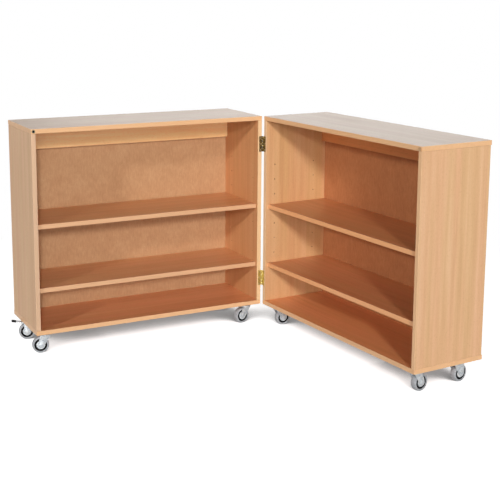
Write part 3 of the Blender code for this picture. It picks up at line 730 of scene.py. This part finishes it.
def leg_outline(with_ear):
    """Side view of a leg, which narrows to a round end at the axle and may carry the pedal's ear."""
    axle = (TRAIL, AXLE.z)
    front_top = (-LEG_HALF_WIDTH, CROWN_MIDDLE)
    back_top = (LEG_HALF_WIDTH, CROWN_MIDDLE)
    back_from = (PIVOT_OUT + EAR_RADIUS, PIVOT.z) if with_ear else back_top
    start = tangent_angle(front_top, axle, LEG_END_RADIUS, 1)
    end = tangent_angle(back_from, axle, LEG_END_RADIUS, -1) + 2 * math.pi
    points = [front_top] + arc(axle, LEG_END_RADIUS, start, end, 28)
    if with_ear:
        points += arc((PIVOT_OUT, PIVOT.z), EAR_RADIUS, 0.0, math.pi / 2, 8)
    return points + [back_top]


def fork_mesh(with_ear):
    """Crown, two legs and the riveted axle."""
    shoulder = arc((CROWN_RADIUS - CROWN_SHOULDER, CROWN_TOP - CROWN_SHOULDER), CROWN_SHOULDER,
                   0.0, math.pi / 2, 6)
    crown = [(KINGPIN_BORE, SWIVEL.z), (CROWN_RADIUS, SWIVEL.z), *shoulder, (KINGPIN_BORE, CROWN_TOP)]
    legs = [prism(leg_outline(with_ear), side * LEG_INNER, side * LEG_OUTER) for side in (-1, 1)]
    head, face, step = -LEG_OUTER - RIVET_PROUD, -LEG_OUTER, 0.0005
    axle = [(0.0, head), (0.0030, head), (0.0052, head + 0.0003), (RIVET_RADIUS, head + 0.0010),
            (RIVET_RADIUS, face - step), (0.0088, face - step), (0.0092, face + step),
            (0.0092, face + 2 * step), (AXLE_RADIUS, face + 2 * step)]
    axle = turned(mirrored(axle), 40, across=True, centre=(TRAIL, 0.0, AXLE.z))
    reach = LEG_OUTER + 2 * OVERRUN
    bores = [turned(rod(PEDAL_STUB_BORE, -reach, reach), 28, across=True,
                    centre=(PIVOT_OUT, 0.0, PIVOT.z))] if with_ear else []
    return joined("fork_with_ears" if with_ear else "fork_plain", turned(crown, 64), legs + [axle],
                  bores, bevel=0.0005)


def tyre_mesh():
    """A tyre that is flush with the floor: rounded shoulders, a raised wall ring and a mould line."""
    tread = AXLE.z
    half = [(radius, TYRE_HALF_WIDTH - sunk) for radius, sunk in TYRE_WALL]
    half += [(0.0327, TREAD_HALF_WIDTH), (tread - MOULD_LINE, 0.0045), (tread - MOULD_LINE, 0.0005),
             (tread, 0.0002)]
    return smooth(mesh_of("castor_tyre", turned(mirrored(half), WHEEL_STEPS, across=True)), 28.0)


def hub_mesh():
    """The black wheel centre, whose rim shows as a ring around the disc."""
    bore, wall, lip = AXLE_RADIUS + PLAY, RIM_HALF_WIDTH - 0.0015, DISC_RADIUS + 0.0006
    half = [(bore, HUB_END), (HUB_RADIUS - 0.0008, HUB_END), (HUB_RADIUS, HUB_END - 0.0006),
            (HUB_RADIUS, wall), (lip, wall), (lip + 0.0004, RIM_HALF_WIDTH - 0.0002),
            (lip + 0.0010, RIM_HALF_WIDTH), (RIM_RADIUS - 0.0004, RIM_HALF_WIDTH),
            (RIM_RADIUS, RIM_HALF_WIDTH - 0.0006)]
    return smooth(mesh_of("castor_hub", turned(mirrored(half), WHEEL_STEPS, across=True)))


def disc_mesh():
    """A pressed disc on each side of the wheel, with concentric steps."""
    inner, low = HUB_RADIUS + PLAY, RIM_HALF_WIDTH - 0.0012
    steps = [(inner, 0.0024), (0.0118, 0.0024), (0.0126, 0.0016), (0.0144, 0.0016), (0.0152, 0.0022),
             (DISC_RADIUS - 0.0009, 0.0022), (DISC_RADIUS, 0.0012), (DISC_RADIUS, 0.0006),
             (DISC_RADIUS - 0.0014, 0.0012), (0.0112, 0.0012), (inner, 0.0016)]
    disc = mesh_of("disc", turned([(radius, low + rise) for radius, rise in steps], 80, across=True))
    return copies("castor_discs", disc, [Matrix.Identity(4), spin(math.pi, 'Z')])


def plate_mesh():
    """Top plate with screw holes, the ball race pressed under it, and the kingpin's riveted head."""
    inset = PLATE_HALF - PLATE_CORNER
    outline = []
    for corner, (x, y) in enumerate(((1, 1), (-1, 1), (-1, -1), (1, -1))):
        turn = corner * math.pi / 2
        outline += arc((x * inset, y * inset), PLATE_CORNER, turn, turn + math.pi / 2, 8)
    race = [(0.0, 0.0012), (0.0262, 0.0012), (0.0256, -0.0001), (0.0246, -0.0009), (0.0239, -0.0022),
            (0.0233, -0.0042), (0.0222, -0.0060)]
    race = [(radius, PLATE_FACE + rise) for radius, rise in race]
    race += [(0.0206, RACE_LOW + 0.0003), (0.0196, RACE_LOW), (KINGPIN_RADIUS, RACE_LOW),
             (KINGPIN_RADIUS, KINGPIN_HEAD_TOP), (KINGPIN_HEAD_RADIUS - 0.0004, KINGPIN_HEAD_TOP),
             (KINGPIN_HEAD_RADIUS, KINGPIN_HEAD_TOP - 0.0005),
             (KINGPIN_HEAD_RADIUS - 0.0006, KINGPIN_HEAD_TOP - 0.0014),
             (0.0055, KINGPIN_HEAD_BOTTOM + 0.0004), (0.0030, KINGPIN_HEAD_BOTTOM),
             (0.0, KINGPIN_HEAD_BOTTOM)]
    hole = rod(PLATE_HOLE_RADIUS, PLATE_FACE - OVERRUN, PLATE_TOP + OVERRUN)
    holes = [turned(hole, 32, centre=(x * PLATE_HOLE_PLACE, y * PLATE_HOLE_PLACE, 0.0))
             for x in (-1, 1) for y in (-1, 1)]
    return joined("castor_top_plate", prism(outline, PLATE_FACE, PLATE_TOP, level=True),
                  [turned(race, 64)], holes, bevel=0.0004)


def plate_screws_mesh():
    """Four pan-head screws under the plate."""
    shank = PLATE_HOLE_RADIUS - PLAY
    profile = [(0.0, 0.0015), (0.0016, 0.00145), (0.0030, 0.0011), (0.0039, 0.0005), (0.0042, 0.0),
               (shank, 0.0), (shank, -0.0024), (0.0, -0.0024)]
    screw = screw_mesh("plate_screw", profile, 0.0040, 0.0009, 0.0015)
    places = [move((x * PLATE_HOLE_PLACE, y * PLATE_HOLE_PLACE, PLATE_FACE)) @ spin(math.pi, 'X')
              @ spin(0.7 * count, 'Z')
              for count, (x, y) in enumerate(((-1, -1), (1, -1), (1, 1), (-1, 1)))]
    return copies("castor_plate_screws", screw, places)


def on_pedal(out, drop):
    """A point of the pedal's side view, from its pivot outwards and off its middle line."""
    return (PIVOT_OUT + out, PIVOT.z + PEDAL_RISE / PEDAL_REACH * out + drop)


def pedal_arm_mesh():
    """Bent steel lever with its pivot barrel, stub pins and the shoe that presses on the tyre."""
    half = PEDAL_HALF_SHEET
    shoe, edge = PIVOT.z - SHOE_DROP, 0.0006
    start, end = PIVOT_OUT + SHOE_START, PIVOT_OUT + SHOE_END
    tip = PEDAL_REACH - 0.0012
    outline = [on_pedal(0.0, half), on_pedal(tip, half), on_pedal(tip, -half),
               on_pedal(SHOE_END, -half), (end, shoe + edge), (end - edge, shoe),
               (start + edge, shoe), (start, shoe + edge), on_pedal(SHOE_START, -half),
               on_pedal(0.0, -half)]
    stub, barrel = -LEG_OUTER - PLAY, PLAY - LEG_INNER
    pivot = [(0.0, stub), (0.0010, stub), (PEDAL_STUB_RADIUS, stub + 0.0005),
             (PEDAL_STUB_RADIUS, barrel), (PEDAL_BARREL_RADIUS, barrel)]
    pivot = turned(mirrored(pivot), 32, across=True, centre=(PIVOT_OUT, 0.0, PIVOT.z))
    return joined("brake_pedal_arm", prism(outline, -PEDAL_HALF_WIDTH, PEDAL_HALF_WIDTH), [pivot],
                  bevel=0.0004)


def pedal_pad_mesh():
    """Ribbed black cover on the pedal's end."""
    start, end = PEDAL_REACH - PAD_LENGTH, PEDAL_REACH
    low, top = -PAD_HALF_THICKNESS, PAD_HALF_THICKNESS
    groove = top - PAD_RIB_DEPTH
    pitch = (PAD_LENGTH - 0.002) / PAD_RIBS
    outline = [(start, low + 0.0006), (start, groove)]
    for rib in range(PAD_RIBS):
        near = start + 0.001 + rib * pitch
        outline += [(near + 0.2 * pitch, groove), (near + 0.35 * pitch, top),
                    (near + 0.8 * pitch, top), (near + 0.95 * pitch, groove)]
    outline += [(end - 0.0003, groove), (end, top - 0.0014), (end, low + 0.0010),
                (end - 0.0010, low), (start + 0.0006, low)]
    inside, mouth, bottom = PEDAL_HALF_SHEET + 0.0001, start - 0.002, end - 0.0011
    slot = [(mouth, inside), (bottom, inside), (bottom, -inside), (mouth, -inside)]
    width = PEDAL_HALF_WIDTH + 0.0001
    cover, hollow = [[on_pedal(*point) for point in side] for side in (outline, slot)]
    return joined("brake_pedal_pad", prism(cover, -width - 0.0006, width + 0.0006),
                  cut=[prism(hollow, -width, width)], bevel=0.0003)


def build_castors(finishes):
    forks = {False: fork_mesh(False), True: fork_mesh(True)}
    tyre, hub, discs = tyre_mesh(), hub_mesh(), disc_mesh()
    plate, screws = plate_mesh(), plate_screws_mesh()
    arm, pad = pedal_arm_mesh(), pedal_pad_mesh()
    for name in CASTORS:
        side, braked = name.split("_")[0], name in BRAKED
        bookcase, fork, spun, foot = side + "_bookcase", name + "_fork", name + "_wheel", name + "_pedal"
        place = castor_matrix(name)
        wheel = place @ move((TRAIL, 0.0, AXLE.z))
        level = move(place.translation) @ spin(side_turn(side), 'Z')
        pieces = [
            # name, mesh, finish, slot, body, place and the node that it stands for
            ("top_plate", plate, "zinc_plate", "zinc_plate", bookcase, level, "castor_plate"),
            ("plate_screws", screws, "zinc_plate", "zinc_plate", bookcase, level, None),
            ("fork_pressing", forks[braked], "zinc_plate", "zinc_plate", fork, place, "castor_fork"),
            ("tyre_tread", tyre, "grey_rubber", "grey_rubber", spun, wheel, "castor_tyre"),
            ("wheel_centre", hub, "black_moulding", "wheel_centre", spun, wheel, "castor_hub"),
            ("wheel_discs", discs, "pressed_zinc", "zinc_plate", spun, wheel, None),
        ]
        if braked:
            pieces += [("pedal_arm", arm, "zinc_plate", "brake_pedal", foot, place, "brake_pedal"),
                       ("pedal_pad", pad, "black_moulding", "brake_pedal", foot, place, None)]
        for piece, mesh, finish, slot, body, where, old in pieces:
            add_piece(f"{name}_{piece}", mesh, finishes[finish], body, where,
                      [f"{name}_{old}"] if old else [])


# Hinges, catch and shelf pegs


HANDS = {"left": -1.0, "right": 1.0}
FACING_FRONT = spin(math.pi / 2, 'X')


def side_turn(side):
    return 0.0 if side == "left" else RIGHT_TURN


def side_place(side, x=0.0, y=0.0, z=0.0):
    """A place in a bookcase's own frame, as a row matrix that doesn't mirror what it places."""
    return move(HINGE_LINE) @ spin(side_turn(side), 'Z') @ move((HANDS[side] * x, y, z))


def leaf_mesh(side, height):
    """A leaf with every second knuckle and three countersunk holes, in the frame of the hinge."""
    hand = HANDS[side]
    start = math.asin(LEAF_FRONT / KNUCKLE_RADIUS)
    end = math.asin(LEAF_BACK / KNUCKLE_RADIUS) - 2 * math.pi
    outline = [(LEAF_END, LEAF_BACK), (LEAF_END, LEAF_FRONT)]
    outline += arc((0.0, 0.0), KNUCKLE_RADIUS, start, end, 28)
    outline = [(hand * x, y) for x, y in outline]
    low = -height / 2
    knuckle = height / KNUCKLE_COUNT
    around = KNUCKLE_RADIUS + OVERRUN
    cuts = []
    for index in range(1 if side == "left" else 0, KNUCKLE_COUNT, 2):
        below = OVERRUN if index == 0 else KNUCKLE_GAP / 2
        above = OVERRUN if index == KNUCKLE_COUNT - 1 else KNUCKLE_GAP / 2
        start, end = sorted((hand * (KNUCKLE_RADIUS + KNUCKLE_GAP), -hand * around))
        cuts.append(prism([(start, -around), (end, -around), (end, around), (start, around)],
                          low + knuckle * index - below, low + knuckle * (index + 1) + above, level=True))
    bore = height / 2 + OVERRUN
    cuts.append(turned(rod(HINGE_PIN_BORE, -bore, bore), 28))
    slope = (SCREW_HEAD_RADIUS - SCREW_SHANK_RADIUS) / (LEAF_BACK - LEAF_FRONT)
    over = 0.0005
    cone = [(0.0, -LEAF_BACK - over), (SCREW_SHANK_RADIUS - slope * over, -LEAF_BACK - over),
            (SCREW_HEAD_RADIUS + slope * over, -LEAF_FRONT + over), (0.0, -LEAF_FRONT + over)]
    for step in (-1, 0, 1):
        centre = (hand * HINGE_SCREW_X, 0.0, step * HINGE_SCREW_PITCH)
        cuts.append(turned(cone, 32, across=True, centre=centre))
    return joined("hinge_leaf_" + side, prism(outline, low, -low, level=True), cut=cuts, bevel=0.0002)


def hinge_screws_mesh(side):
    """Three countersunk screws, a hair below the leaf's face."""
    shank = SCREW_SHANK_RADIUS - 0.0002
    profile = [(0.0, 0.0), (0.0016, -0.00005), (SCREW_HEAD_RADIUS - 0.0004, -0.0002),
               (SCREW_HEAD_RADIUS - 0.0003, -0.0004), (shank, -0.00155), (0.0, -0.00155)]
    screw = screw_mesh("hinge_screw", profile, 0.0042, 0.0009, 0.0)
    places = [move((HANDS[side] * HINGE_SCREW_X, LEAF_FRONT, step * HINGE_SCREW_PITCH)) @ FACING_FRONT
              @ spin(0.4 + 0.9 * count, 'Z') for count, step in enumerate((-1, 0, 1))]
    return copies("hinge_screws_" + side, screw, places)


def hinge_pin_mesh(height):
    end = height / 2 + 0.0005
    half = [(0.0, end), (0.0008, end - 0.0001), (0.0013, end - 0.0003), (HINGE_PIN_RADIUS, end - 0.0007)]
    return smooth(mesh_of("hinge_pin", turned(mirrored(half), 28)))


def build_hinges(finishes):
    low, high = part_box("upper_hinge_left_leaf")
    height = high.z - low.z
    leaves = {side: leaf_mesh(side, height) for side in HANDS}
    screws = {side: hinge_screws_mesh(side) for side in HANDS}
    pin = hinge_pin_mesh(height)
    # one brass is darker as painted shade, the other brighter as a painted highlight
    for name, finish in (("upper_hinge", "browned_brass"), ("lower_hinge", "bright_brass")):
        low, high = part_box(name + "_left_leaf")
        middle = (low.z + high.z) / 2
        for side in HANDS:
            place = side_place(side, z=middle)
            add_piece(f"{name}_{side}_rolled_leaf", leaves[side].copy(), finishes[finish],
                      side + "_bookcase", place, [f"{name}_{side}_leaf"])
            add_piece(f"{name}_{side}_screws", screws[side], finishes["screw_brass"],
                      side + "_bookcase", place)
        add_piece(name + "_domed_pin", pin.copy(), finishes[finish], "left_bookcase",
                  side_place("left", z=middle), [name + "_pin"])


def build_catch(finishes):
    """A magnet in its cup in the left top panel, and the screwed-on strike that it meets."""
    low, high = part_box("left_catch_magnet")
    middle = (low + high) / 2
    cup, core, rim, nose = CATCH_CUP_RADIUS, CATCH_CORE_RADIUS, CATCH_RIM_RADIUS, CATCH_NOSE
    cup_profile = [(core, nose + 0.0001), (core + 0.0003, nose), (cup - 0.0003, nose),
                   (cup, nose + 0.0003), (cup, CATCH_RIM_FRONT), (rim - 0.0003, CATCH_RIM_FRONT),
                   (rim, CATCH_RIM_FRONT + 0.0003), (rim, CATCH_RIM_BACK), (cup, CATCH_RIM_BACK),
                   (cup, CATCH_BACK), (core, CATCH_BACK)]
    core_profile = [(0.0, nose + 0.0003), (core - 0.0005, nose + 0.0003), (core - 0.0001, nose + 0.0007),
                    (core - 0.0001, CATCH_BACK), (0.0, CATCH_BACK)]
    place = move((middle.x, HINGE_LINE.y, middle.z)) @ FACING_FRONT
    for name, profile, finish, gone in (("left_catch_cup", cup_profile, "cup_steel", ["left_catch_magnet"]),
                                        ("left_catch_core", core_profile, "black_moulding", [])):
        mesh = smooth(mesh_of(name, turned([(radius, -depth) for radius, depth in profile], 48)))
        add_piece(name, mesh, finishes[finish], "left_bookcase", place, gone)

    face, shank = STRIKE_FACE, 0.0024
    profile = [(0.0, face + 0.0006), (0.0016, face + 0.0006), (0.0030, face + 0.0001), (0.0034, face),
               (rim - 0.0005, face), (rim, face + 0.0006), (rim, CATCH_RIM_BACK),
               (shank, CATCH_RIM_BACK), (shank, STRIKE_SHANK_END), (0.0, STRIKE_SHANK_END)]
    strike = screw_mesh("right_catch_strike_plate", [(radius, -depth) for radius, depth in profile],
                        0.0026, 0.0008, -face - 0.0006)
    add_piece("right_catch_strike_plate", strike, finishes["strike_steel"],
              "right_bookcase", side_place("right", x=STRIKE_X, z=middle.z) @ FACING_FRONT,
              ["right_catch_strike"])


def build_peg_sleeves(finishes):
    """Zinc sleeves on the pegs that carry the shelves, four to each side board."""
    reach, radius = SLEEVE_REACH, SLEEVE_RADIUS
    profile = [(0.0, 0.0), (radius, 0.0), (radius, reach - 0.0006), (radius - 0.0005, reach),
               (0.0, reach)]
    sleeve = mesh_of("peg_sleeve", turned(profile, 32))
    for side, hand in HANDS.items():
        for part, face in INNER_FACES.items():
            along = spin((hand if part == "hinge_side" else -hand) * math.pi / 2, 'Y')
            places = [move((hand * face, y, z)) @ along for y in PEG_DEPTHS for z in PEG_HEIGHTS]
            mesh = copies(f"{side}_{part}_peg_sleeves", sleeve, places)
            add_piece(mesh.name, mesh, finishes["zinc_plate"], side + "_bookcase",
                      side_place(side))


# Stage, light and camera


FLOOR_COLOUR = 0.55
FLOOR_LIFT = 0.9
FLOOR_SHINE = 0.35
FLOOR_FADE_START = 1.4
FLOOR_FADE_END = 2.4
FLOOR_REACH = 9.0
SHADE_HEADING = 241.0
SHADE_RISE = 28.0
SHADE_DISTANCE = 0.30
SHADE_SAMPLES = 64
SHADE_STOPS = (
    # share of open sky, brightness of the painted shade
    (0.16, 0.04), (0.36, 0.16), (0.46, 0.26), (0.49, 0.33), (0.53, 0.60), (0.57, 0.82), (0.63, 1.0),
)


def way_of(heading, rise):
    """A direction from its heading from +x and its rise, both in degrees."""
    heading, rise = math.radians(heading), math.radians(rise)
    return Vector((math.cos(heading) * math.cos(rise), math.sin(heading) * math.cos(rise), math.sin(rise)))


def painted_contact_shade(tree):
    """Painted shade for the floor: an occlusion test over a hemisphere tilted towards the front gives the share of
    open sky, and the stops turn it into a brightness.
    """
    towards = dict(zip("XYZ", way_of(SHADE_HEADING, SHADE_RISE)))
    towards = node(tree, "ShaderNodeCombineXYZ", towards).outputs[0]
    open_share = node(tree, "ShaderNodeAmbientOcclusion", {"Distance": SHADE_DISTANCE, "Normal": towards},
                      samples=SHADE_SAMPLES).outputs["AO"]
    shade = ramp(tree, open_share, *((place, (level, level, level, 1.0)) for place, level in SHADE_STOPS))
    return node(tree, "ShaderNodeRGBToBW", {0: shade}).outputs[0]


def floor_material():
    """Pale floor: a plain matt surface that shows white to the camera, with the lamps' shadows and a painted
    contact shade near the object.
    """
    def glow(strength):
        return node(tree, "ShaderNodeEmission", {"Strength": strength}).outputs[0]

    def matt(colour):
        return node(tree, "ShaderNodeBsdfDiffuse", {"Color": colour}).outputs[0]

    made = bpy.data.materials.new("floor")
    made.use_nodes = True
    tree = made.node_tree
    tree.nodes.clear()
    path = node(tree, "ShaderNodeLightPath").outputs
    mirrored_ray = calc(tree, 'MAXIMUM', path["Is Glossy Ray"], path["Is Transmission Ray"])
    point = object_point(tree)
    tone = between(tree, noise(tree, point, 3.0, 3.0), 0.3, 0.7, 0.79, 0.82)
    shine = glow(calc(tree, 'MULTIPLY', mirrored_ray, FLOOR_SHINE))
    plain = node(tree, "ShaderNodeAddShader", {0: matt(tone), 1: shine}).outputs[0]
    shade = painted_contact_shade(tree)
    near = node(tree, "ShaderNodeAddShader", {0: matt(calc(tree, 'MULTIPLY', shade, FLOOR_COLOUR)),
                                              1: glow(calc(tree, 'MULTIPLY', shade, FLOOR_LIFT))})
    away = node(tree, "ShaderNodeVectorMath", {0: point}, operation='LENGTH').outputs["Value"]
    fade = between(tree, away, FLOOR_FADE_START, FLOOR_FADE_END)
    shown = node(tree, "ShaderNodeMixShader", {0: fade, 1: near.outputs[0], 2: glow(1.0)}).outputs[0]
    both = node(tree, "ShaderNodeMixShader", {0: path["Is Camera Ray"], 1: plain, 2: shown}).outputs[0]
    node(tree, "ShaderNodeOutputMaterial", {"Surface": both})
    return made


def build_floor():
    form = bmesh.new()
    bmesh.ops.create_grid(form, x_segments=4, y_segments=4, size=FLOOR_REACH)
    floor = new_object("floor", mesh_of("floor", form))
    floor.data.materials.append(floor_material())


AMBIENT = 0.05
HORIZON = 0.28
HORIZON_HEIGHT = 0.7
LAMPS = {
    # strength, heading, fall and spread
    "left_lamp": (1.0, 32.0, 20.0, 4.5),
    "front_lamp": (1.5, 72.0, 18.0, 5.5),
    "front_fill": (1.05, 76.0, 1.0, 30.0),
    "back_lamp": (0.31, 239.0, 9.0, 30.0),
}


def add_sun(name, strength, heading, fall, spread):
    """A soft distant lamp; heading is the way its light travels, in degrees from +x."""
    lamp = bpy.data.lights.new(name, 'SUN')
    lamp.energy = strength
    lamp.angle = math.radians(spread)
    new_object(name, lamp).rotation_euler = way_of(heading, -fall).to_track_quat('-Z', 'Y').to_euler()


def build_world():
    """Soft light that is brighter near the horizon, behind a plain white background."""
    world = bpy.data.worlds.new("studio")
    bpy.context.scene.world = world
    world.use_nodes = True
    tree = world.node_tree
    tree.nodes.clear()
    path = node(tree, "ShaderNodeLightPath").outputs
    seen = calc(tree, 'MAXIMUM', path["Is Camera Ray"],
                calc(tree, 'MAXIMUM', path["Is Glossy Ray"], path["Is Transmission Ray"]))
    height = axes(tree, node(tree, "ShaderNodeTexCoord").outputs["Generated"])[2]
    level = between(tree, height, 0.0, HORIZON_HEIGHT, AMBIENT + HORIZON, AMBIENT)
    soft, white = [node(tree, "ShaderNodeBackground", {"Color": WHITE, "Strength": strength}).outputs[0]
                   for strength in (level, 1.0)]
    both = node(tree, "ShaderNodeMixShader", {0: seen, 1: soft, 2: white}).outputs[0]
    node(tree, "ShaderNodeOutputWorld", {"Surface": both})


IMAGE_SIZE = 500.0
SENSOR_WIDTH = 36.0
FOCAL_LENGTH_PX = 1066.51
OPTICAL_AXIS_PX = (225.0, 175.0)
CAMERA_FROM_HINGE = Vector((-2.1473, -3.9225, 1.4443))
CAMERA_TURN = -26.646
CAMERA_PITCH = 10.018
CAMERA_ROLL = 0.178


def build_camera():
    """The camera, placed from the hinge line; the shift follows the photograph's framing."""
    data = bpy.data.cameras.new("camera")
    data.sensor_width = SENSOR_WIDTH
    data.lens = FOCAL_LENGTH_PX / IMAGE_SIZE * data.sensor_width
    data.shift_x = 0.5 - OPTICAL_AXIS_PX[0] / IMAGE_SIZE
    data.shift_y = OPTICAL_AXIS_PX[1] / IMAGE_SIZE - 0.5
    camera = new_object("camera", data)
    camera.matrix_world = (move(HINGE_LINE + CAMERA_FROM_HINGE) @ spin(math.radians(CAMERA_TURN), 'Z')
                           @ spin(math.radians(90.0 - CAMERA_PITCH), 'X')
                           @ spin(math.radians(CAMERA_ROLL), 'Z'))
    bpy.context.scene.camera = camera
    bpy.context.scene.view_settings.view_transform = 'Standard'


# The whole scene


def dress_nodes(pattern, finishes):
    """Give every node of the model its finish."""
    slots = {part["node"]: part["material_slot"] for part in frame["record"]["subparts"]}
    for number, name in enumerate(sorted(slots)):
        slot = slots[name]
        if slot == "beech_board":
            finish = board_material(name, pattern, number)
        else:
            finish = finishes[name if name in BACK_TONE_AND_PAINTED_SHADE else SLOT_FINISHES.get(slot, slot)]
        materials = frame["nodes"][name].data.materials
        materials.clear()
        materials.append(finish)


def main():
    finishes = {name: finish_material(name + "_hardboard", hardboard(name), metallic=0.0, bump=0.35,
                                      bump_depth=0.0004) for name in BACK_TONE_AND_PAINTED_SHADE}
    finishes.update({name: finish_material(name, *values) for name, values in FINISHES.items()})
    dress_nodes(board_group(), finishes)
    for build in (build_castors, build_hinges, build_catch, build_peg_sleeves):
        build(finishes)
    build_floor()
    build_world()
    for name, values in LAMPS.items():
        add_sun(name, *values)
    build_camera()


main()
